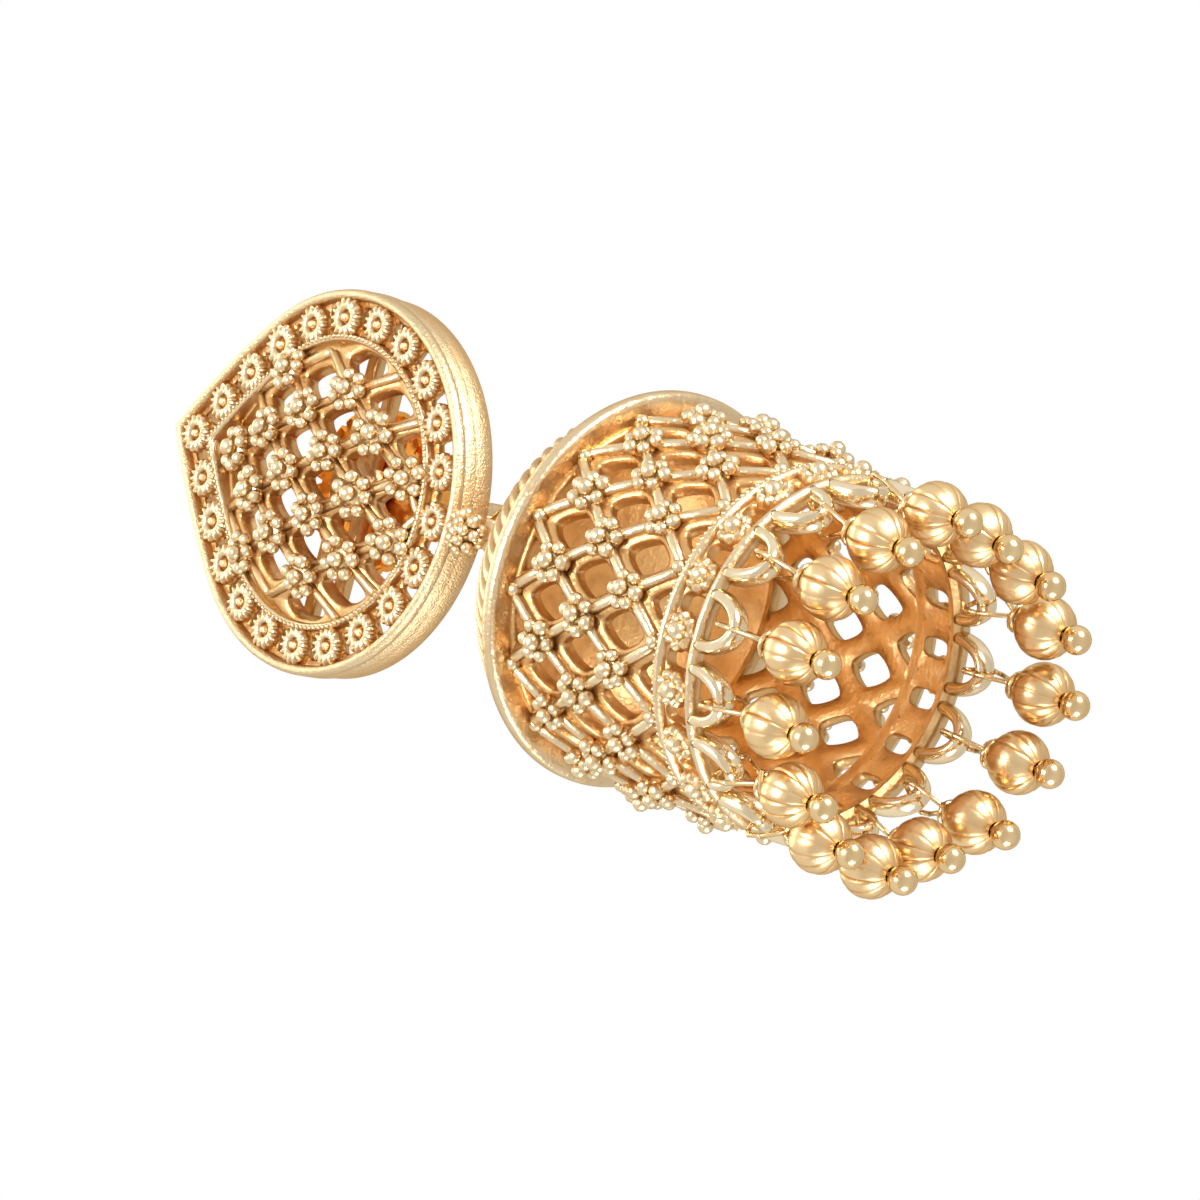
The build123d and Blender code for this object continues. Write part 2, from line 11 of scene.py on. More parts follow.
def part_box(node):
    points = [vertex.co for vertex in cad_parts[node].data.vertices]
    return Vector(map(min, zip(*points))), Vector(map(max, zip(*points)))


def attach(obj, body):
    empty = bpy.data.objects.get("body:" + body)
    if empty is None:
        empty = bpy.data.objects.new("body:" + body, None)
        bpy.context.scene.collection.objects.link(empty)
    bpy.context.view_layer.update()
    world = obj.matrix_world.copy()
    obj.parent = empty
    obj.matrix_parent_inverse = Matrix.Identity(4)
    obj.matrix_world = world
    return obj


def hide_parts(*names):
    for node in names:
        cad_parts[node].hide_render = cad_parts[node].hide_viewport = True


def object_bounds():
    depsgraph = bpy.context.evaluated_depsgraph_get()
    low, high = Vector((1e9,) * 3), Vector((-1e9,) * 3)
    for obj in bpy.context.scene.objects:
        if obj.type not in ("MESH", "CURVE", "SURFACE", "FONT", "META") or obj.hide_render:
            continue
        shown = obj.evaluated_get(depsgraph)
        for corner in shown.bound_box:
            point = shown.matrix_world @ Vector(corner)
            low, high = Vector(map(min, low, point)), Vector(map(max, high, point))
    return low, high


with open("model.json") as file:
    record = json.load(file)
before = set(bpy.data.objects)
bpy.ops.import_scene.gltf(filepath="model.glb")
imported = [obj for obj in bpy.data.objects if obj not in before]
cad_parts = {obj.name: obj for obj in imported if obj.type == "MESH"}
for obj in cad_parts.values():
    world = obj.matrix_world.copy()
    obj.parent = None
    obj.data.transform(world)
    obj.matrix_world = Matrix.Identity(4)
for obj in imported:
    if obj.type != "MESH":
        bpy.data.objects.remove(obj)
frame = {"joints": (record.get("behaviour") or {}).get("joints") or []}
cad_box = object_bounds()

# ---- Room ---------------------------------------------------------------------------------
# A paper floor far below the hanging earring, three soft boxes on the camera's side of it and
# one overhead. The room is white to the camera and in the metal, and grey to all other light.
# The camera looks up at the earring and is rolled, so that the earring lies across the view.
camera_distance = 0.36
right = Vector((0.2554, 0.7196, -0.6460)).normalized()
toward = Vector((0.0952, -0.6835, -0.7240)).normalized()
up = toward.cross(right).normalized()
right = up.cross(toward)
aim = (cad_box[0] + cad_box[1]) / 2 + right * 0.0005 - up * 0.0015
camera = bpy.data.objects.new("camera", bpy.data.cameras.new("camera"))
camera.data.lens = 242
camera.data.clip_start = 0.01
camera.matrix_world = (Matrix.Translation(aim + toward * camera_distance)
                       @ Matrix((right, up, toward)).transposed().to_4x4())
bpy.context.scene.collection.objects.link(camera)
bpy.context.scene.camera = camera
bpy.context.scene.view_settings.view_transform = "Standard"

for name, side, lift, near, size, power in (("key", 0.17, 0.2, 0.16, 0.12, 1.2),
                                            ("fill", -0.24, 0.06, 0.2, 0.12, 0.85),
                                            ("low", 0.05, -0.24, 0.1, 0.12, 0.35)):
    lamp = bpy.data.objects.new(name, bpy.data.lights.new(name, "AREA"))
    lamp.data.size = size
    lamp.data.energy = power
    spot = aim + right * side + up * lift + toward * near
    lamp.matrix_world = (Matrix.Translation(spot)
                         @ (aim - spot).to_track_quat("-Z", "Y").to_matrix().to_4x4())
    lamp.visible_camera = False
    bpy.context.scene.collection.objects.link(lamp)

top_lamp = bpy.data.objects.new("overhead", bpy.data.lights.new("overhead", "AREA"))
top_lamp.data.size = 0.3
top_lamp.data.energy = 0.6
top_lamp.location = aim + Vector((0, -0.1, 0.35))
top_lamp.rotation_euler = (-0.28, 0, 0)
top_lamp.visible_camera = False
bpy.context.scene.collection.objects.link(top_lamp)


def shown_rays(tree):
    """Socket that is 1 on camera, glossy and transmission rays, and 0 on all other light."""
    path = tree.nodes.new("ShaderNodeLightPath")
    shown = path.outputs["Is Camera Ray"]
    for kind in ("Is Glossy Ray", "Is Transmission Ray"):
        either = tree.nodes.new("ShaderNodeMath")
        either.operation = "MAXIMUM"
        tree.links.new(shown, either.inputs[0])
        tree.links.new(path.outputs[kind], either.inputs[1])
        shown = either.outputs[0]
    return shown


world = bpy.data.worlds.new("white_room")
world.use_nodes = True
bpy.context.scene.world = world
nodes, links = world.node_tree.nodes, world.node_tree.links
soft = nodes["Background"]
soft.inputs["Color"].default_value = (0.80, 0.80, 0.80, 1)
soft.inputs["Strength"].default_value = 0.66
white = nodes.new("ShaderNodeBackground")
white.inputs["Color"].default_value = (1, 1, 1, 1)
mix = nodes.new("ShaderNodeMixShader")
links.new(shown_rays(world.node_tree), mix.inputs["Fac"])
links.new(soft.outputs[0], mix.inputs[1])
links.new(white.outputs[0], mix.inputs[2])
links.new(mix.outputs[0], nodes["World Output"].inputs["Surface"])

floor_drop = 0.6
bm = bmesh.new()
bmesh.ops.create_grid(bm, x_segments=8, y_segments=8, size=3)
bmesh.ops.translate(bm, vec=(0, 0, -floor_drop), verts=bm.verts)
floor_mesh = bpy.data.meshes.new("floor")
bm.to_mesh(floor_mesh)
bm.free()
floor = bpy.data.objects.new("floor", floor_mesh)
bpy.context.scene.collection.objects.link(floor)
paper = bpy.data.materials.new("white_paper")
paper.use_nodes = True
nodes, links = paper.node_tree.nodes, paper.node_tree.links
shader = nodes["Principled BSDF"]
shader.inputs["Roughness"].default_value = 0.9
shader.inputs["Emission Color"].default_value = (1, 1, 1, 1)
place = nodes.new("ShaderNodeTexCoord")
fibre = nodes.new("ShaderNodeTexNoise")
fibre.inputs["Scale"].default_value = 900
shade = nodes.new("ShaderNodeValToRGB")
shade.color_ramp.elements[0].color = (0.86, 0.86, 0.86, 1)
shade.color_ramp.elements[1].color = (0.90, 0.90, 0.90, 1)
glow = nodes.new("ShaderNodeMath")
glow.operation = "MULTIPLY"
glow.inputs[1].default_value = 0.25
links.new(place.outputs["Object"], fibre.inputs["Vector"])
links.new(fibre.outputs["Fac"], shade.inputs["Fac"])
links.new(shade.outputs["Color"], shader.inputs["Base Color"])
links.new(shown_rays(paper.node_tree), glow.inputs[0])
links.new(glow.outputs[0], shader.inputs["Emission Strength"])
floor_mesh.materials.append(paper)

# ---- Gold plate ---------------------------------------------------------------------------
# Cast brass, tumbled to a satin and plated in high-carat gold. Its colour carries painted shade:
# pale on open faces, brown in the recesses and a clear orange inside the bell. A fine sandy
# grain from the casting shows.
grain = bpy.data.node_groups.new("cast_grain", "ShaderNodeTree")
grain.interface.new_socket("Grain Scale", in_out="INPUT", socket_type="NodeSocketFloat")
grain.interface.new_socket("Cloud Scale", in_out="INPUT", socket_type="NodeSocketFloat")
grain.interface.new_socket("Unevenness", in_out="INPUT", socket_type="NodeSocketFloat")
grain.interface.new_socket("Cloud", in_out="OUTPUT", socket_type="NodeSocketFloat")
grain.interface.new_socket("Height", in_out="OUTPUT", socket_type="NodeSocketFloat")
nodes, links = grain.nodes, grain.links
given, made = nodes.new("NodeGroupInput"), nodes.new("NodeGroupOutput")
place = nodes.new("ShaderNodeTexCoord")
noises = {}
for size in ("Cloud Scale", "Grain Scale"):
    noises[size] = nodes.new("ShaderNodeTexNoise")
    noises[size].inputs["Detail"].default_value = 3
    links.new(place.outputs["Object"], noises[size].inputs["Vector"])
    links.new(given.outputs[size], noises[size].inputs["Scale"])
uneven = nodes.new("ShaderNodeMath")
uneven.operation = "MULTIPLY_ADD"
links.new(noises["Cloud Scale"].outputs["Fac"], uneven.inputs[0])
links.new(given.outputs["Unevenness"], uneven.inputs[1])
links.new(noises["Grain Scale"].outputs["Fac"], uneven.inputs[2])
links.new(noises["Cloud Scale"].outputs["Fac"], made.inputs["Cloud"])
links.new(uneven.outputs[0], made.inputs["Height"])

plate = bpy.data.node_groups.new("plate_tone", "ShaderNodeTree")
for socket, kind in (("Unshaded", "Color"), ("Deep", "Color"), ("Inside", "Color"), ("Cloud", "Float")):
    plate.interface.new_socket(socket, in_out="INPUT", socket_type="NodeSocket" + kind)
plate.interface.new_socket("Color", in_out="OUTPUT", socket_type="NodeSocketColor")
plate.interface.new_socket("Recess", in_out="OUTPUT", socket_type="NodeSocketFloat")
nodes, links = plate.nodes, plate.links
given, made = nodes.new("NodeGroupInput"), nodes.new("NodeGroupOutput")
recess = nodes.new("ShaderNodeAttribute")
recess.attribute_name = "recess"
sway = nodes.new("ShaderNodeMapRange")
sway.inputs["From Min"].default_value = 0.3
sway.inputs["From Max"].default_value = 0.7
sway.inputs["To Min"].default_value = -0.14
sway.inputs["To Max"].default_value = 0.14
total = nodes.new("ShaderNodeMath")
total.operation = "ADD"
links.new(given.outputs["Cloud"], sway.inputs["Value"])
links.new(recess.outputs["Fac"], total.inputs[0])
links.new(sway.outputs["Result"], total.inputs[1])
# Painted shade: the colour goes from the unshaded tone towards the brown Deep colour as the recess
# value rises to 0.85, and on to the orange Inside colour between 1.15 and 1.4.
below = given.outputs["Unshaded"]
# The Mix node's two colours are its inputs 6 and 7, and the mixed one is its output 2.
for colour, least, most in (("Deep", 0.0, 0.85), ("Inside", 1.15, 1.4)):
    share = nodes.new("ShaderNodeMapRange")
    share.inputs["From Min"].default_value = least
    share.inputs["From Max"].default_value = most
    blend = nodes.new("ShaderNodeMix")
    blend.data_type = "RGBA"
    links.new(total.outputs[0], share.inputs["Value"])
    links.new(share.outputs["Result"], blend.inputs["Factor"])
    links.new(below, blend.inputs[6])
    links.new(given.outputs[colour], blend.inputs[7])
    below = blend.outputs[2]
links.new(below, made.inputs["Color"])
links.new(total.outputs[0], made.inputs["Recess"])


def gold(name, unshaded, deep, smooth, rough, bump, uneven=3.0, inside=(0.98, 0.68, 0.33),
         sand=5200):
    """Gold plate: its own colour, the brown and orange of its painted shade, its roughness on open
    faces and in recesses, its grain.
    """
    material = bpy.data.materials.new(name)
    material.use_nodes = True
    nodes, links = material.node_tree.nodes, material.node_tree.links
    shader = nodes["Principled BSDF"]
    shader.inputs["Metallic"].default_value = 1
    shader.inputs["Specular Tint"].default_value = (0.60, 0.50, 0.38, 1)
    cast = nodes.new("ShaderNodeGroup")
    cast.node_tree = grain
    cast.inputs["Grain Scale"].default_value = sand
    cast.inputs["Cloud Scale"].default_value = 900
    cast.inputs["Unevenness"].default_value = uneven
    # The tone group paints shade into the base colour: Deep brown in recesses, Inside orange within
    # the bell.
    tone = nodes.new("ShaderNodeGroup")
    tone.node_tree = plate
    tone.inputs["Unshaded"].default_value = (*unshaded, 1)
    tone.inputs["Deep"].default_value = (*deep, 1)
    tone.inputs["Inside"].default_value = (*inside, 1)
    satin = nodes.new("ShaderNodeMapRange")
    satin.inputs["To Min"].default_value = smooth
    satin.inputs["To Max"].default_value = rough
    relief = nodes.new("ShaderNodeBump")
    relief.inputs["Strength"].default_value = bump
    relief.inputs["Distance"].default_value = 0.00004
    links.new(cast.outputs["Cloud"], tone.inputs["Cloud"])
    links.new(tone.outputs["Color"], shader.inputs["Base Color"])
    links.new(tone.outputs["Recess"], satin.inputs["Value"])
    links.new(satin.outputs["Result"], shader.inputs["Roughness"])
    links.new(cast.outputs["Height"], relief.inputs["Height"])
    links.new(relief.outputs["Normal"], shader.inputs["Normal"])
    return material


satin_gold = gold("satin_gold", (0.74, 0.58, 0.36), (0.66, 0.40, 0.17), 0.3, 0.38, 0.8)


def lay_rings(bm, rings):
    """Skin over a row of rings with equal numbers of points, by extruding the first one. Gives
    the edges of the first ring and of the last."""
    place = bm.verts.layers.int.get("place") or bm.verts.layers.int.new("place")
    first = [bm.verts.new(point) for point in rings[0]]
    for index, vert in enumerate(first):
        vert[place] = index
    edges = [bm.edges.new(pair) for pair in zip(first, first[1:] + first[:1])]
    start = edges
    for points in rings[1:]:
        made = bmesh.ops.extrude_edge_only(bm, edges=edges)["geom"]
        verts = {item for item in made if isinstance(item, bmesh.types.BMVert)}
        for vert in verts:
            vert.co = points[vert[place]]
        edges = [item for item in made if isinstance(item, bmesh.types.BMEdge)
                 and item.verts[0] in verts and item.verts[1] in verts]
    return start, edges


def cap(bm, *ends):
    """Close each ring of edges with one face."""
    for edges in ends:
        bmesh.ops.contextual_create(bm, geom=edges)


def turn(bm, profile, steps):
    """Turn a profile of (radius, height) points round the Z axis."""
    verts = [bm.verts.new((radius, 0, height)) for radius, height in profile]
    edges = [bm.edges.new(pair) for pair in zip(verts, verts[1:])]
    bmesh.ops.spin(bm, geom=verts + edges, cent=(0, 0, 0), axis=(0, 0, 1), angle=tau,
                   steps=steps, use_merge=True)


def ball(bm, centre, radius, fineness=2):
    """Granule of gold, or the ball at a wire's end."""
    bmesh.ops.create_icosphere(bm, subdivisions=fineness, radius=radius,
                               matrix=Matrix.Translation(centre))


def rod(bm, start, end, radius, sides=8):
    """Wire between two points with round ends."""
    start, end = Vector(start), Vector(end)
    half = (end - start).length / 2
    verts = bmesh.ops.create_uvsphere(bm, u_segments=sides, v_segments=6, radius=radius)["verts"]
    for vert in verts:
        vert.co.z += half - radius if vert.co.z > 1e-6 else radius - half
    along = (end - start).to_track_quat("Z", "Y").to_matrix().to_4x4()
    bmesh.ops.transform(bm, matrix=Matrix.Translation((start + end) / 2) @ along, verts=verts)


def repeat(bm, places):
    """Copy all that bm holds to each place, and keep the copies alone."""
    pattern = bm.verts[:] + bm.edges[:] + bm.faces[:]
    for place in places:
        copy = bmesh.ops.duplicate(bm, geom=pattern)["geom"]
        verts = [item for item in copy if isinstance(item, bmesh.types.BMVert)]
        bmesh.ops.transform(bm, matrix=place, verts=verts)
    bmesh.ops.delete(bm, geom=[item for item in pattern if isinstance(item, bmesh.types.BMVert)],
                     context="VERTS")


def facing(point, outward, upward=(0, 0, 1)):
    """Matrix that stands a shape on a point, its Z axis outward and its Y axis nearly upward."""
    z = Vector(outward).normalized()
    x = Vector(upward).cross(z).normalized()
    return Matrix.Translation(point) @ Matrix((x, z.cross(x), z)).transposed().to_4x4()


def piece(bm, name, body, node, material, recess, crease=50):
    """Finish a mesh drawn in millimetres as a piece. recess(point) sets its painted shade and
    roughness: 0 on open faces, 0.85 in a recess and 1.4 inside the bell."""
    bmesh.ops.remove_doubles(bm, verts=bm.verts, dist=0.0005)
    bmesh.ops.recalc_face_normals(bm, faces=bm.faces)
    layer = bm.verts.layers.float.new("recess")
    for vert in bm.verts:
        vert[layer] = max(0, recess(vert.co))
    bmesh.ops.scale(bm, vec=(0.001, 0.001, 0.001), verts=bm.verts)
    mesh = bpy.data.meshes.new(name)
    bm.to_mesh(mesh)
    bm.free()
    mesh.materials.append(material)
    mesh.shade_smooth()
    mesh.set_sharp_from_angle(angle=radians(crease))
    thing = bpy.data.objects.new(name, mesh)
    bpy.context.scene.collection.objects.link(thing)
    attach(thing, body)
    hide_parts(node)
    return thing


# ---- Stud: rim ----------------------------------------------------------------------------
# The stud's frame, cast in one with the rest: a teardrop wall two millimetres deep with a
# line round its side and a rounded front edge.
lobe_radius = 7.53
side_radius = 35.8
tangent = radians(134.8)
low_arc = lobe_radius * tangent


def side_centre():
    """Centre of the arc that is the teardrop's right side."""
    reach = side_radius - lobe_radius
    return -reach * sin(tangent), reach * cos(tangent)


def side_end(offset):
    """Angle at which the side arc, moved outwards by offset, reaches the cusp."""
    x, z = side_centre()
    return pi / 2 + atan2(sqrt((side_radius + offset) ** 2 - x * x), -x)


half_length = low_arc + side_radius * (side_end(0) - tangent)


def on_teardrop(share, offset, y):
    """Point of the teardrop: share runs from the foot, over the right side, to 0.5 at the cusp."""
    share %= 1
    run = 2 * min(share, 1 - share) * half_length
    if run < low_arc:
        angle = run / lobe_radius
        x, z = (lobe_radius + offset) * sin(angle), -(lobe_radius + offset) * cos(angle)
    else:
        part = (run - low_arc) / (half_length - low_arc)
        angle = tangent + part * (side_end(offset) - tangent)
        x, z = side_centre()
        x += (side_radius + offset) * sin(angle)
        z -= (side_radius + offset) * cos(angle)
    return Vector((x if share <= 0.5 else -x, y, z))


def rail_reach(x, z, offset):
    """Distance from the lobe's centre to the offset teardrop, in the direction of (x, z)."""
    x = abs(x)
    angle = atan2(x, -z)
    if angle < tangent:
        return lobe_radius + offset
    cx, cz = side_centre()
    along = sin(angle) * cx - cos(angle) * cz
    return along + sqrt(along ** 2 - cx * cx - cz * cz + (side_radius + offset) ** 2)


def teardrop_ring(profile, count=176):
    """Closed wall that follows the teardrop, from (offset, y) points round its section."""
    bm = bmesh.new()
    lay_rings(bm, [[on_teardrop(k / count, offset, y) for k in range(count)]
                   for offset, y in profile + profile[:1]])
    return bm


frosted_gold = gold("frosted_gold", (0.72, 0.56, 0.34), (0.66, 0.40, 0.17), 0.33, 0.46, 1.4, 0.8,
                    sand=9000)
bm = teardrop_ring([(0.82, 0.0), (1.2, 0.0), (1.25, -0.06), (1.25, -0.9), (1.2, -1.0),
                    (1.2, -1.06), (1.37, -1.14), (1.37, -1.7), (1.31, -1.76), (1.37, -1.83),
                    (1.37, -2.0), (1.33, -2.16), (1.22, -2.28), (1.1, -2.3), (0.98, -2.24),
                    (0.9, -2.1), (0.86, -1.9), (0.82, -1.6)])
# Painted shade: the front edge is pale, the inner wall brown, and the outer side darker towards the
# back.
piece(bm, "stud_rim", "stud", "stud", frosted_gold,
      lambda p: 0.1 if p.y < -2.1 else
      0.8 if hypot(p.x, p.z) < rail_reach(p.x, p.z, 1.0) else 0.6 + 0.23 * p.y)

# ---- Stud: border -------------------------------------------------------------------------
# A floor between rim and inner rail, pierced between every two of its 22 rosettes. Each
# rosette is a toothed ring round a pip. The inner rail carries a row of tiny beads.
rosettes = 22
rail_beads = 150
rail_offset = -0.885
floor_y, floor_wall = -1.78, 0.35


def squared(angle):
    """Point of a square, as a complex number, in the direction of the angle."""
    c, s = cos(angle), sin(angle)
    return complex(c, s) / max(abs(c), abs(s))


def rounded(angle, power):
    """Point of a square with soft corners: a circle at power 2, sharper with a higher one."""
    c, s = cos(angle), sin(angle)
    return complex(c, s) / (abs(c) ** power + abs(s) ** power) ** (1 / power)


def pierced(bm, outline, hole, place, thick, swell=0.0):
    """One mesh of a pierced wall: the metal between its outline and its hole, over the front,
    through the hole and back behind."""
    rings = []
    for share, rise in ((0, swell), (0.55, swell * 0.8), (0.88, -0.02), (1.0, -0.1),
                        (1.0, 0.05 - thick), (0.94, -thick), (0, -thick)):
        rings.append([place(a + (b - a) * share, rise) for a, b in zip(outline, hole)])
    lay_rings(bm, rings)


bm = bmesh.new()
for index in range(rosettes):
    outline, hole = [], []
    for k in range(24):
        angle = tau * (k + 0.5) / 24
        edge, soft = squared(angle), rounded(angle, 4)
        outline.append(complex((index + 0.5 + 0.5 * edge.real) / rosettes, 0.05 + 0.82 * edge.imag))
        hole.append(complex((index + 0.5 + 0.15 * soft.real) / rosettes, 0.1 + 0.5 * soft.imag))
    pierced(bm, outline, hole, lambda q, rise: on_teardrop(q.real, q.imag, floor_y - rise),
            floor_wall)
# Painted shade: the floor is coloured as a recess all over.
piece(bm, "stud_border_floor", "stud", "stud", satin_gold, lambda p: 0.85)

random.seed(7)


def by_hand():
    """Small difference of turn and size between one ornament and the next."""
    turned = Matrix.Rotation(random.uniform(0, tau), 4, "Z")
    return turned @ Matrix.Scale(random.uniform(0.93, 1.04), 4)


def rosette(bm, teeth, section):
    """Toothed ring round a pip: radius and height of each ring, on a tooth and in a gap."""
    rings = []
    for radius, height, gap_radius, gap_height in section:
        ring = []
        for k in range(teeth * 4):
            angle = tau * k / (teeth * 4)
            r, h = (radius, height) if k % 4 < 2 else (gap_radius, gap_height)
            ring.append((r * cos(angle), r * sin(angle), h))
        rings.append(ring)
    cap(bm, *lay_rings(bm, rings))


bm = bmesh.new()
rosette(bm, 14, ((0.05, 0.34, 0.05, 0.34), (0.14, 0.31, 0.14, 0.31), (0.21, 0.20, 0.21, 0.20),
                 (0.23, 0.04, 0.23, 0.04), (0.29, 0.03, 0.29, 0.03), (0.34, 0.18, 0.34, 0.18),
                 (0.41, 0.27, 0.41, 0.27), (0.54, 0.31, 0.54, 0.30), (0.68, 0.31, 0.66, 0.25),
                 (0.82, 0.29, 0.76, 0.15), (0.91, 0.23, 0.83, 0.07), (0.96, 0.10, 0.87, 0.0),
                 (0.96, -0.22, 0.87, -0.22)))
repeat(bm, [facing(on_teardrop(k / rosettes, 0.05, -2.0), (0, -1, 0)) @ by_hand()
            for k in range(rosettes)])
# Painted shade: darker towards their foot, pale on top.
piece(bm, "stud_rosettes", "stud", "stud", satin_gold,
      lambda p: 0.8 + (p.y + 2.05) * 3.2, crease=38)

bm = teardrop_ring([(-0.72, -1.1), (-0.72, -2.2), (-0.79, -2.3), (-0.885, -2.33), (-0.98, -2.3),
                    (-1.05, -2.2), (-1.05, -1.6), (-1.3, -1.25), (-1.3, -1.1)])
# Painted shade: pale at the front, darker towards the back.
piece(bm, "stud_inner_rail", "stud", "stud", satin_gold,
      lambda p: 0.9 + (p.y + 1.7) * 1.6)

bm = bmesh.new()
ball(bm, (0, 0, 0), 0.115, 1)
repeat(bm, [Matrix.Translation(on_teardrop((k + 0.5) / rail_beads, rail_offset + 0.06, -2.31))
            for k in range(rail_beads)])
piece(bm, "stud_rail_beads", "stud", "stud", satin_gold, lambda p: 0.1, crease=180)

# ---- Stud: field --------------------------------------------------------------------------
# A domed net of diamond meshes inside the rail. Wires lie on its strips, and on each
# crossing stands a cluster of granules round a raised one.
field_radius = 19.0
crown_y = -3.1
field_wall = 0.8
mesh_x, mesh_z = 1.43, 2.38
first_z = 1.69
strip = 0.4
net_edge, hole_edge, wire_edge = -0.9, -1.2, -1.0
least_hole, least_wire = 0.4, 0.8


def within(q, offset):
    """The point q = x + iz, drawn in to the offset teardrop if it lies outside."""
    reach = rail_reach(q.real, q.imag, offset)
    return q * min(1, reach / abs(q)) if abs(q) > 1e-9 else q


def on_field(q, rise):
    """Point of the domed field above x + iz, raised along its normal."""
    point = Vector((q.real, crown_y + field_radius - sqrt(field_radius ** 2 - abs(q) ** 2), q.imag))
    normal = (point - Vector((0, crown_y + field_radius, 0))).normalized()
    return point + normal * rise


def field_normal(q):
    """Direction in which the field faces above x + iz."""
    return on_field(q, 1) - on_field(q, 0)


def diamond(half_x, half_z, keep, sides=8, power=1.4):
    """Outline of a diamond mesh and of its soft-cornered hole, keep times as wide."""
    keep /= 2 ** (1 - 1 / power)
    outline, hole = [], []
    for k in range(4 * sides):
        corner, part = divmod(k, sides)
        a = complex(*((1, 0), (0, 1), (-1, 0), (0, -1))[corner])
        b = complex(*((0, 1), (-1, 0), (0, -1), (1, 0))[corner])
        q = a + (b - a) * part / sides
        outline.append(complex(q.real * half_x, q.imag * half_z))
        soft = keep / (abs(q.real) ** power + abs(q.imag) ** power) ** (1 / power)
        hole.append(complex(q.real * half_x * soft, q.imag * half_z * soft))
    return outline, hole


slope = mesh_x * mesh_z / hypot(mesh_x, mesh_z)
bm = bmesh.new()
for row in range(-4, 5):
    for column in range(-5, 6):
        centre = complex(column * mesh_x, first_z + row * mesh_z)
        if (row + column) % 2 == 0 or abs(within(centre, rail_offset) - centre) > 1.6:
            continue
        outline, hole = diamond(mesh_x, mesh_z, 1 - strip / slope)
        outline = [within(centre + q, net_edge) for q in outline]
        hole = [within(centre + q, hole_edge) for q in hole]
        area = abs(sum((a.conjugate() * b).imag for a, b in zip(hole, hole[1:] + hole[:1]))) / 2
        # A mesh that the rail nearly covers is cast shut, all but a pinhole.
        if area < least_hole:
            middle = sum(outline) / len(outline)
            hole = [middle + (q - middle) * 0.02 for q in outline]
        pierced(bm, outline, hole, on_field, field_wall, 0.06)
# Painted shade: the net's strips between the wires are brown-orange.
piece(bm, "stud_net", "stud", "stud", satin_gold,
      lambda p: 1.1 + (p.y + 2.6) * 0.1)

crossings = []
for row in range(-3, 3):
    for column in range(-4, 5):
        q = complex(column * mesh_x, first_z + row * mesh_z)
        if (row + column) % 2 == 0 and abs(q) < rail_reach(q.real, q.imag, -1.6):
            crossings.append((column, row))

bm = bmesh.new()
for column in range(-5, 6):
    for row in range(-4, 4):
        for step in (-1, 1):
            here, there = (column, row), (column + step, row + 1)
            if (row + column) % 2 or (here not in crossings and there not in crossings):
                continue
            a, b = (complex(c * mesh_x, first_z + r * mesh_z) for c, r in (here, there))
            a, b = within(a, wire_edge), within(b, wire_edge)
            if abs(b - a) > least_wire:
                rod(bm, on_field(a, 0.13), on_field(b, 0.13), random.uniform(0.22, 0.27))
# Painted shade: the wires take a partly brown tone all over.
piece(bm, "stud_net_wires", "stud", "stud", satin_gold, lambda p: 0.5, crease=180)


def cluster(bm, ring_radius, ball_radius, lift, tip, count=7):
    """Cluster of granules on a short stem, standing on the origin along Z."""
    turn(bm, [(0, -0.2), (ring_radius * 0.95, -0.2), (ring_radius * 0.8, lift), (0, lift)], 10)
    for k in range(count):
        angle = tau * (k + random.uniform(-0.1, 0.1)) / count
        rise = lift + random.uniform(-0.05, 0.05)
        ball(bm, (ring_radius * cos(angle), ring_radius * sin(angle), rise),
             ball_radius * random.uniform(0.86, 1.08))
    ball(bm, (0.05, 0, tip - ball_radius * 1.1), ball_radius * 1.1)


bm = bmesh.new()
cluster(bm, 0.80, 0.35, 0.42, 1.1)
spots = [complex(column * mesh_x, first_z + row * mesh_z) for column, row in crossings]
repeat(bm, [facing(on_field(q, 0), field_normal(q)) @ by_hand() for q in spots])
# Painted shade: darker at the granules' foot, pale on their tops.
piece(bm, "stud_clusters", "stud", "stud", satin_gold,
      lambda p: 0.7 - 1.1 * (on_field(complex(p.x, p.z), 0).y - p.y), crease=180)

# ---- Stud: back, post and bail ------------------------------------------------------------
# Two crossbars behind the net carry a round pad with the ear post. A flower of granules is
# soldered under the rim's foot, and behind it the bail that the jump ring hangs in.
bar_span, bar_thick, bar_wide = 16.75, 0.6, 0.72
bm = bmesh.new()
for z in (-0.82, 0.82):
    bar = bmesh.ops.create_cube(bm, size=1)["verts"]
    bmesh.ops.scale(bm, vec=(bar_span, bar_thick, bar_wide), verts=bar)
    bmesh.ops.translate(bm, vec=(0, -bar_thick / 2, z), verts=bar)
bmesh.ops.bevel(bm, geom=bm.edges[:], offset=0.12, segments=2, profile=0.5, affect="EDGES",
                material=-1)
# Painted shade: the crossbars behind the net are coloured as a recess.
piece(bm, "stud_crossbars", "stud", "stud", satin_gold, lambda p: 0.85)

bm = bmesh.new()
turn(bm, [(0, -0.62), (1.5, -0.62), (1.62, -0.5), (1.62, -0.1), (1.5, 0.0), (0.62, 0.0),
          (0.5, 0.05), (0.4, 0.16), (0.4, 9.3), (0.34, 9.5), (0.32, 9.65), (0.34, 9.8),
          (0.4, 10.0), (0.4, 11.7), (0.33, 11.9), (0.2, 12.0), (0, 12.0)], 28)
bmesh.ops.rotate(bm, cent=(0, 0, 0), matrix=Matrix.Rotation(-pi / 2, 3, "X"), verts=bm.verts)
# Painted shade: the pad is darker than the post.
piece(bm, "stud_post", "stud", "stud", satin_gold,
      lambda p: 0.05 if p.y > 0.3 else 0.6)

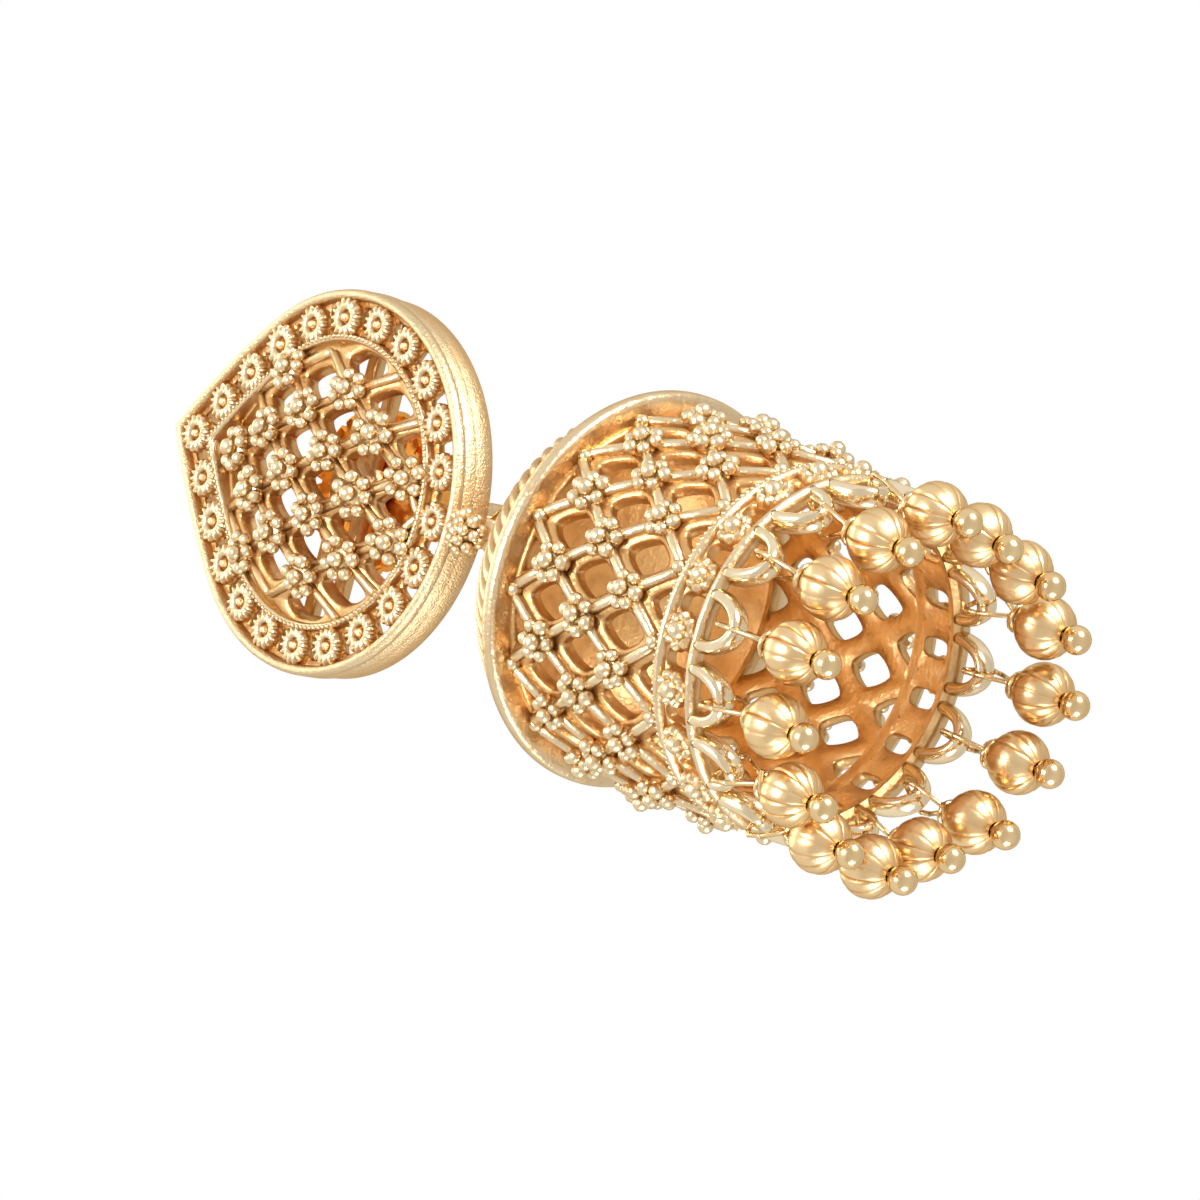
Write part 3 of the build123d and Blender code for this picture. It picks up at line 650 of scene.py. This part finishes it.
# All that hangs is centred under the first joint, the hinge in the bail.
axis_y = frame["joints"][0]["pos_m"][1] * 1000
hang = Vector((0, axis_y, -8.15))
bm = bmesh.new()
turn(bm, [(0.75, -0.62), (0.83, -0.7), (1.06, -0.7), (1.15, -0.6), (1.15, 0.6), (1.06, 0.7),
          (0.83, 0.7), (0.75, 0.62), (0.75, -0.62)], 32)
bmesh.ops.rotate(bm, cent=(0, 0, 0), matrix=Matrix.Rotation(pi / 2, 3, "Y"), verts=bm.verts)
bmesh.ops.translate(bm, vec=hang, verts=bm.verts)
# Painted shade: darker on the bail's inner face.
piece(bm, "stud_bail", "stud", "stud", satin_gold,
      lambda p: 0.3 if hypot(p.y - hang.y, p.z - hang.z) > 0.9 else 0.8)

bm = bmesh.new()
for k in range(8):
    angle = tau * k / 8
    ball(bm, (0.84 * cos(angle), 0.0, 0.84 * sin(angle)), random.uniform(0.27, 0.34))
    ball(bm, (0.74 * cos(angle + 0.4), 0.5, 0.74 * sin(angle + 0.4)), 0.31)
for k in range(5):
    ball(bm, (0.42 * cos(tau * k / 5), -0.3, 0.42 * sin(tau * k / 5)), 0.29)
ball(bm, (0, -0.42, 0), 0.28)
ball(bm, (0, 0.15, 0), 0.62)
bmesh.ops.translate(bm, vec=(0, -1.95, -9.45), verts=bm.verts)
# Painted shade: pale at the front, darker towards the back.
piece(bm, "stud_flower", "stud", "stud", satin_gold,
      lambda p: 0.1 + 0.8 * (p.y + 2.1), crease=180)

# ---- Jump ring ----------------------------------------------------------------------------
# Round wire bent to a ring and closed butt to butt, the seam just showing. It hangs in the
# stud's bail and carries the bell's eye.
wire_gold = gold("gold_wire", (0.78, 0.58, 0.31), (0.60, 0.32, 0.11), 0.18, 0.32, 0.2, 1.0)
low, high = (corner * 1000 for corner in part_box("link_ring"))
middle = (low + high) / 2
wire_radius = (high.y - low.y) / 2
ring_radius = (high.z - low.z) / 2 - wire_radius
bm = bmesh.new()
rings = []
for k in range(49):
    angle = 0.25 + (tau - 0.05) * k / 48
    out = Vector((sin(angle), 0, cos(angle)))
    centre = middle + out * ring_radius
    rings.append([centre + (out * cos(tau * j / 14) + Vector((0, sin(tau * j / 14), 0))) * wire_radius
                  for j in range(14)])
cap(bm, *lay_rings(bm, rings))
piece(bm, "jump_ring", "link_ring", "link_ring", wire_gold, lambda p: 0.15)

# ---- Bell: domes --------------------------------------------------------------------------
# The bell's closed top, two raised domes: a small one with straight flutes and a step, and
# a wide one whose flutes sweep in an S down to the smooth flange. An eye tops it, and its
# inside is plain.
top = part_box("bell")[1].z * 1000
apex_z = top - 2.57
flange_z = top - 8.87
dome_radius, dome_height = 8.5, 5.2
foot_radius = 3.75
dome_top = flange_z + dome_height * sin(acos(foot_radius / dome_radius))
flutes, cap_flutes, flute_steps = 60, 36, 8
flute_sweep = radians(9)
wall_radius, wall_thick, wall_bulge = 7.85, 0.6, 0.12


def round_bell(angle, radius, z):
    """Point at an angle, a radius and a height round the bell's axis."""
    return Vector((radius * cos(angle), axis_y + radius * sin(angle), z))


def outward(angle):
    """Direction away from the bell's axis."""
    return Vector((cos(angle), sin(angle), 0))


def from_axis(p):
    """Distance of a point from the bell's axis."""
    return hypot(p.x, p.y - axis_y)


def fluted(count, radius, z, cut, twist=0.0):
    """Ring of rounded ridges with sharp valleys, cut deep and twisted by an angle."""
    points = []
    for k in range(count * flute_steps):
        valley = 1 - abs(sin(pi * k / flute_steps))
        angle = twist + tau * k / (count * flute_steps)
        points.append(round_bell(angle, radius - cut * valley ** 1.4, z))
    return points


bm = bmesh.new()
rings = [fluted(cap_flutes, 0.5, apex_z, 0)]
for k in range(11):
    share = k / 10
    cut = 0.2 * min(1, 6 * (1 - share) + 0.15) * min(1, 0.3 + share * 2)
    rings.append(fluted(cap_flutes, 0.85 + 2.45 * share, apex_z - 1.15 * share ** 1.5, cut))
rings.append(fluted(cap_flutes, 3.26, apex_z - 1.65, 0.02))
cap(bm, lay_rings(bm, rings)[0])
piece(bm, "bell_cap", "bell", "bell", satin_gold, lambda p: 0.35, crease=60)

bm = bmesh.new()
profile = [(3.2, 0.02), (3.24, 0.34), (3.34, 0.42), (3.52, 0.45), (3.7, 0.39), (3.8, 0.24),
           (3.8, 0.04), (3.86, -0.1), (4.1, -0.16), (4.35, -0.26), (4.6, -0.42)]
lay_rings(bm, [[round_bell(tau * k / 96, radius, dome_top + rise) for k in range(96)]
               for radius, rise in profile])
# Painted shade: darker on the slope outside the collar's bead.
piece(bm, "bell_collar", "bell", "bell", satin_gold,
      lambda p: 0.15 if from_axis(p) < 3.8 else 0.5)

bm = bmesh.new()
rings = [fluted(flutes, 4.3, dome_top - 0.6, 0.04, flute_sweep)]
for k in range(25):
    share = k / 24
    lift = radians(57.5 - 51.5 * share)
    cut = 0.34 * min(1, 0.12 + 7 * share, 0.12 + 7 * (1 - share))
    rings.append(fluted(flutes, dome_radius * cos(lift), flange_z + dome_height * sin(lift),
                        cut, flute_sweep * cos(pi * share)))
for radius, rise in ((8.62, 0.45), (8.8, 0.4), (8.93, 0.3), (9.0, 0.15), (9.0, -0.08),
                     (8.95, -0.25), (8.84, -0.34), (8.6, -0.36), (7.6, -0.36)):
    rings.append(fluted(flutes, radius, flange_z + rise, 0))
lay_rings(bm, rings)


def dome_recess(p):
    """Painted shade: brown in the flutes and under the flange, none on the flutes' crests or along
    the flange's edge.
    """
    out = from_axis(p)
    rise = (p.z - flange_z) / dome_height
    crest = dome_radius * sqrt(max(0, 1 - rise * rise))
    if rise < 0.09:
        return 0.15 if out > dome_radius else 0.6
    return 0.1 + 2.6 * (crest - out)


piece(bm, "bell_dome", "bell", "bell", satin_gold, dome_recess, crease=60)

bm = bmesh.new()
turn(bm, [(7.4, -0.36), (7.2, 0.1), (6.6, 1.9), (5.2, 3.1), (3.4, 3.9), (1.6, 4.25), (0, 4.3)], 60)
bmesh.ops.translate(bm, vec=(0, axis_y, flange_z), verts=bm.verts)
# Painted shade: the inside is the orange Inside colour all over.
piece(bm, "bell_vault", "bell", "bell", satin_gold, lambda p: 1.4)

bm = bmesh.new()
eye_z, eye_radius, eye_wire = top - 1.4, 1.05, 0.35
turn(bm, [(0, apex_z + 0.5), (0.5, apex_z + 0.3), (0.62, apex_z + 0.12), (0.85, apex_z),
          (0.85, apex_z - 0.2)], 24)
rings = []
for k in range(36):
    angle = tau * k / 36
    out = Vector((0, sin(angle), cos(angle)))
    rings.append([Vector((0, 0, eye_z)) + out * eye_radius
                  + (out * cos(tau * j / 14) + Vector((sin(tau * j / 14), 0, 0))) * eye_wire
                  for j in range(14)])
lay_rings(bm, rings + rings[:1])
bmesh.ops.translate(bm, vec=(0, axis_y, 0), verts=bm.verts)
piece(bm, "bell_eye", "bell", "bell", satin_gold, lambda p: 0.3)

# ---- Bell: net ----------------------------------------------------------------------------
# The wall below the flange, cast as a net of fifteen meshes round and four rows, with wires
# on its strips, granule clusters on its crossings and elbows where the wires meet the edges.
sectors, net_rows, net_row = 15, 4, 2.45
net_top = top - 9.22
net_low = net_top - net_rows * net_row
mesh_u = pi * wall_radius / sectors
bell_strip = 0.5
strip_share = bell_strip / (mesh_u * net_row / hypot(mesh_u, net_row))


def wall_face(z):
    """Radius of the wall's outer face at a height."""
    half = (net_top - net_low) / 2
    return wall_radius + wall_bulge * max(0, 1 - ((z - net_low - half) / half) ** 2)


def on_wall(q, rise):
    """Point of the bell's wall: q is arc length round it + i times its height."""
    return round_bell(q.real / wall_radius, wall_face(q.imag) + rise, q.imag)


bm = bmesh.new()
for level in range(net_rows + 1):
    for sector in range(sectors):
        centre = complex(mesh_u * (2 * sector + (level + 1) % 2), net_top - level * net_row)
        outline, hole = diamond(mesh_u, net_row, 1 - strip_share)
        outline = [centre + q for q in outline]
        hole = [centre + q for q in hole]
        outline = [complex(q.real, min(net_top, max(net_low, q.imag))) for q in outline]
        hole = [complex(q.real, min(net_top - 0.25, max(net_low + 0.2, q.imag))) for q in hole]
        pierced(bm, outline, hole, on_wall, wall_thick, 0.06)


def bell_recess(p):
    """Painted shade: orange on the wall's inner face, brown in the holes and on the strips between
    wires.
    """
    rise = from_axis(p) - wall_face(p.z)
    if rise < 0.02 - wall_thick:
        return 1.4
    return 0.9 if rise < -0.06 else 1.1


piece(bm, "bell_net", "bell", "bell", satin_gold, bell_recess, crease=60)

bm = bmesh.new()
for level in range(net_rows):
    for sector in range(sectors):
        here = complex(mesh_u * (2 * sector + level % 2), net_top - level * net_row)
        for step in (-1, 1):
            there = here + complex(step * mesh_u, -net_row)
            a = here + (there - here) * (0.16 if level > 0 else 0.12)
            b = there + (here - there) * (0.16 if level < net_rows - 1 else 0.1)
            rod(bm, on_wall(a, random.uniform(0.16, 0.22)), on_wall(b, random.uniform(0.16, 0.22)),
                random.uniform(0.25, 0.29), 10)
for sector in range(sectors):
    for level in (0, net_rows):
        centre = complex(mesh_u * (2 * sector + level % 2), net_top - level * net_row)
        centre += complex(0, -0.34 if level == 0 else 0.26)
        ball(bm, on_wall(centre, 0.24), 0.34)
# Painted shade: darker where the wires lie close to the wall.
piece(bm, "bell_wires", "bell", "bell", satin_gold,
      lambda p: 0.6 - 1.3 * (from_axis(p) - wall_radius), crease=180)

bm = bmesh.new()
cluster(bm, 0.68, 0.35, 0.48, 1.18, 6)
spots = [complex(mesh_u * (2 * sector + level % 2), net_top - level * net_row)
         for level in range(1, net_rows) for sector in range(sectors)]
repeat(bm, [facing(on_wall(q, 0), outward(q.real / wall_radius)) @ by_hand() for q in spots])
# Painted shade: darker at the granules' foot, pale on their tops.
piece(bm, "bell_clusters", "bell", "bell", satin_gold,
      lambda p: 0.75 - 1.1 * (from_axis(p) - wall_radius), crease=180)

# ---- Bell: band ---------------------------------------------------------------------------
# The mouth's band between two thin rails: twenty rosettes with a window between each two.
# Tiny beads run along the upper rail.
band_rosettes, band_beads = 20, 170
band_top = net_low - 0.35
band_low = band_top - 1.7
band_middle = (band_top + band_low) / 2
mouth = band_low - 0.35
pitch = tau * wall_radius / band_rosettes
bm = bmesh.new()
for index in range(band_rosettes):
    outline, hole = [], []
    for k in range(24):
        angle = tau * (k + 0.5) / 24
        edge, soft = squared(angle), rounded(angle, 3.5)
        centre = complex(pitch * (index + 0.5), band_middle)
        outline.append(centre + complex(pitch / 2 * edge.real, 0.95 * edge.imag))
        hole.append(centre + complex(0.46 * soft.real, 0.74 * soft.imag))
    pierced(bm, outline, hole, on_wall, wall_thick)
piece(bm, "bell_band", "bell", "bell", satin_gold, bell_recess, crease=60)

bm = bmesh.new()
rosette(bm, 8, ((0.06, 0.74, 0.06, 0.74), (0.20, 0.70, 0.20, 0.70), (0.32, 0.60, 0.32, 0.60),
                (0.40, 0.44, 0.40, 0.44), (0.42, 0.30, 0.42, 0.30), (0.50, 0.38, 0.48, 0.30),
                (0.62, 0.44, 0.58, 0.32), (0.74, 0.38, 0.68, 0.25), (0.84, 0.24, 0.76, 0.12),
                (0.87, 0.0, 0.78, -0.04), (0.87, -0.2, 0.78, -0.2)))
angles = [tau * k / band_rosettes for k in range(band_rosettes)]
repeat(bm, [facing(round_bell(angle, wall_radius + 0.05, band_middle), outward(angle)) @ by_hand()
            for angle in angles])
# Painted shade: darker towards their foot, pale on top.
piece(bm, "bell_rosettes", "bell", "bell", satin_gold,
      lambda p: 0.9 - 2.2 * (from_axis(p) - wall_radius - 0.1), crease=38)

bm = bmesh.new()
inner = wall_radius - wall_thick + 0.01
for z, foot in ((net_low - 0.17, ((0, -0.24), (0.65, -0.26))),
                (mouth + 0.17, ((0.12, -0.1), (0.22, -0.18), (0.36, -0.25), (0.53, -0.27),
                                (0.7, -0.25)))):
    turn(bm, [(inner, z - 0.02), *((inner + out, z + rise) for out, rise in foot),
              (wall_radius + 0.26, z - 0.17), (wall_radius + 0.34, z - 0.07),
              (wall_radius + 0.36, z + 0.04), (wall_radius + 0.26, z + 0.17),
              (wall_radius + 0.1, z + 0.24), (inner, z + 0.24), (inner, z - 0.02)], 96)
bmesh.ops.translate(bm, vec=(0, axis_y, 0), verts=bm.verts)
# Painted shade: orange on the inner face, darker on the underside of the mouth's rail.
piece(bm, "bell_rails", "bell", "bell", satin_gold,
      lambda p: 1.3 if from_axis(p) < wall_radius - 0.3 else
      0.5 if p.z < mouth - 0.03 else 0.1)

bm = bmesh.new()
ball(bm, (0, 0, 0), 0.12, 1)
repeat(bm, [Matrix.Translation(round_bell(tau * k / band_beads, wall_radius + 0.3, net_low - 0.1))
            for k in range(band_beads)])
piece(bm, "bell_rail_beads", "bell", "bell", satin_gold, lambda p: 0.1, crease=180)

# ---- Bell: mouth loops --------------------------------------------------------------------
# Fifteen arches of thick round-edged strip under the mouth, polished by wear, which the
# drops hang in.
polished_gold = gold("polished_gold", (0.84, 0.70, 0.47), (0.66, 0.40, 0.16), 0.16, 0.3, 0.12)
bm = bmesh.new()
rings = []
for k in range(25):
    angle = pi * k / 24
    out = Vector((0, cos(angle), -sin(angle)))
    centre = Vector((0, 1.13 * cos(angle), 0.12 - 1.78 * sin(angle)))
    ring = []
    for j in range(16):
        soft = rounded(tau * j / 16, 2.4)
        ring.append(centre + Vector((0.5 * soft.real, 0, 0)) + out * 0.31 * soft.imag)
    rings.append(ring)
cap(bm, *lay_rings(bm, rings))
repeat(bm, [Matrix.Translation(round_bell(tau * (k + 0.5) / sectors, 7.62, mouth))
            @ Matrix.Rotation(tau * (k + 0.5) / sectors, 4, "Z") for k in range(sectors)])
piece(bm, "bell_loops", "bell", "bell", polished_gold, lambda p: 0.1, crease=180)

# ---- Drops --------------------------------------------------------------------------------
# Each drop is a ball-ended wire through a hollow melon bead. Its upper end goes through a
# mouth loop, comes back to the bead in a triangle and is wrapped, a cut tail left over. Each
# hangs a little askew, turned about its loop by hand.
bead_gold = gold("gold_bead", (0.80, 0.58, 0.31), (0.58, 0.30, 0.10), 0.29, 0.44, 0.3, 2.0)
bead_radius, bead_lobes, lobe_steps = 1.42, 12, 10
bead_hole = radians(74)
drop_wire, ball_radius, coil_steps = 0.125, 0.66, 14
random.seed(15)


def melon(bm, centre, half, spun):
    """Hollow bead between two holes, with uneven soft grooves."""
    depths = [random.uniform(0.015, 0.08) for groove in range(bead_lobes)]
    rings = []
    for k in range(15):
        lift = bead_hole * (1 - k / 7)
        height = half * sin(lift) / sin(bead_hole)
        ring = []
        for j in range(bead_lobes * lobe_steps):
            depth = depths[round(j / lobe_steps) % bead_lobes]
            groove = depth * (1 - abs(sin(pi * j / lobe_steps))) ** 3
            r = bead_radius * cos(lift) * (1 - groove)
            around = spun + tau * j / (bead_lobes * lobe_steps)
            ring.append(centre + Vector((r * cos(around), r * sin(around), height)))
        rings.append(ring)
    walls = [[centre + (p - centre) * 0.8 for p in ring] for ring in (rings[0], rings[-1])]
    lay_rings(bm, [walls[0]] + rings + [walls[1]])


def wire_along(bm, points, radius):
    """Round wire through a list of points, with flat ends."""
    rings = []
    for k, point in enumerate(points):
        ahead = (points[min(k + 1, len(points) - 1)] - points[max(k - 1, 0)]).normalized()
        side = ahead.cross(Vector((0, 0, 1))).normalized()
        over = side.cross(ahead)
        rings.append([point + (side * cos(tau * j / 8) + over * sin(tau * j / 8)) * radius
                      for j in range(8)])
    cap(bm, *lay_rings(bm, rings))


for index in range(sectors):
    name = f"{index + 1:02d}"
    angle = tau * (index + 0.5) / sectors
    out, side = outward(angle), Vector((-sin(angle), cos(angle), 0))
    low, high = (corner * 1000 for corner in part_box("drop_bead_" + name))
    pin_low, pin_high = (corner * 1000 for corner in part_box("drop_pin_" + name))
    centre, half = (low + high) / 2, (high.z - low.z) / 2
    pivot = Vector((centre.x, centre.y, pin_high.z - 0.15))
    lean = (Matrix.Translation(pivot) @ Matrix.Rotation(random.uniform(-0.1, 0.1), 4, side)
            @ Matrix.Rotation(random.uniform(-0.04, 0.04), 4, out) @ Matrix.Translation(-pivot))
    spun = random.uniform(0, tau)

    def bead_recess(p, centre=centre, half=half):
        """Painted shade: brown in the grooves and round the holes."""
        flat = hypot(p.x - centre.x, p.y - centre.y) / bead_radius
        rise = abs(p.z - centre.z) / half
        return 0.05 + 11 * (sqrt(max(0, 1 - (rise * sin(bead_hole)) ** 2)) - flat) + 0.3 * rise ** 4

    bm = bmesh.new()
    melon(bm, centre, half, spun)
    bead = piece(bm, "bead_" + name, "bell", "drop_bead_" + name, bead_gold,
                 bead_recess, 60)
    bead.data.transform(Matrix.Scale(0.001, 4) @ lean @ Matrix.Scale(1000, 4))

    bm = bmesh.new()
    knee, knot = pivot.z - 0.85, high.z + 0.55
    half_loop = [(0.2, knot + 0.25), (0.82, knee), (0.95, pivot.z - 0.22), (0.7, pivot.z)]
    path = [(0, knot)] + half_loop + [(-x, z) for x, z in half_loop[::-1]] + [(0, knot)]
    points = [Vector((centre.x, centre.y, z)) + out * x for x, z in path]
    for a, b in zip(points, points[1:]):
        past = (b - a).normalized() * drop_wire
        rod(bm, a - past, b + past, drop_wire)
    coil = []
    turns = random.uniform(1.7, 2.4)
    for k in range(int(turns * coil_steps)):
        swing = spun + tau * k / coil_steps
        reach = 0.5 + 0.15 * sin(0.31 * k + spun)
        coil.append(Vector((centre.x + reach * cos(swing), centre.y + reach * sin(swing),
                            knot + 0.02 - 0.5 * k / (turns * coil_steps))))
    tail = (coil[-1] - coil[-2]) * random.uniform(0.8, 2.2)
    coil.append(coil[-1] + tail + Vector((0, 0, 0.05)))
    wire_along(bm, coil, drop_wire)
    tip = Vector((centre.x, centre.y, pin_low.z + ball_radius))
    rod(bm, (centre.x, centre.y, knot + 0.2), tip, drop_wire)
    ball(bm, tip, ball_radius, 3)
    pin = piece(bm, "pin_" + name, "bell", "drop_pin_" + name, wire_gold,
                lambda p: 0.12, 60)
    pin.data.transform(Matrix.Scale(0.001, 4) @ lean @ Matrix.Scale(1000, 4))

# ---- Clutch -------------------------------------------------------------------------------
# Turned brass nut that slides on the post: a disc with a toothed edge against the lobe and a
# waisted barrel behind it, plated in a redder gold and left bright.
clutch_gold = gold("clutch_gold", (0.92, 0.42, 0.09), (0.75, 0.22, 0.03), 0.14, 0.26, 0.12)
low, high = (corner * 1000 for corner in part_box("clutch"))
disc_radius = (high.x - low.x) / 2
disc_teeth, tooth_steps, notch_depth = 30, 6, 0.42
bm = bmesh.new()
rings = []
profile = [(0.46, 0.02), (0.55, 0), (disc_radius - 0.15, 0), (disc_radius, 0.12),
           (disc_radius, 0.82), (disc_radius - 0.15, 0.93), (2.1, 0.99), (1.8, 1.08),
           (1.62, 1.25), (1.54, 1.6), (1.58, 2.2), (1.52, 2.6), (1.44, 3.1), (1.3, 3.6),
           (1.2, 4.3), (1.16, 4.7), (1.24, 4.8), (1.28, 5.0), (1.27, 5.2), (1.15, 5.31),
           (0.6, 5.33), (0.46, 5.28), (0.46, 0.02)]
for radius, rise in profile:
    ring = []
    for k in range(disc_teeth * tooth_steps):
        notched = k % tooth_steps < 2 and radius > disc_radius - 0.2
        reach = radius - notch_depth if notched else radius
        angle = tau * k / (disc_teeth * tooth_steps)
        ring.append(Vector((reach * cos(angle), low.y + rise, reach * sin(angle))))
    rings.append(ring)
lay_rings(bm, rings)
# Painted shade: darker in the bore.
piece(bm, "clutch_nut", "clutch", "clutch", clutch_gold,
      lambda p: 0.2 if hypot(p.x, p.z) > 1 else 0.9, crease=40)
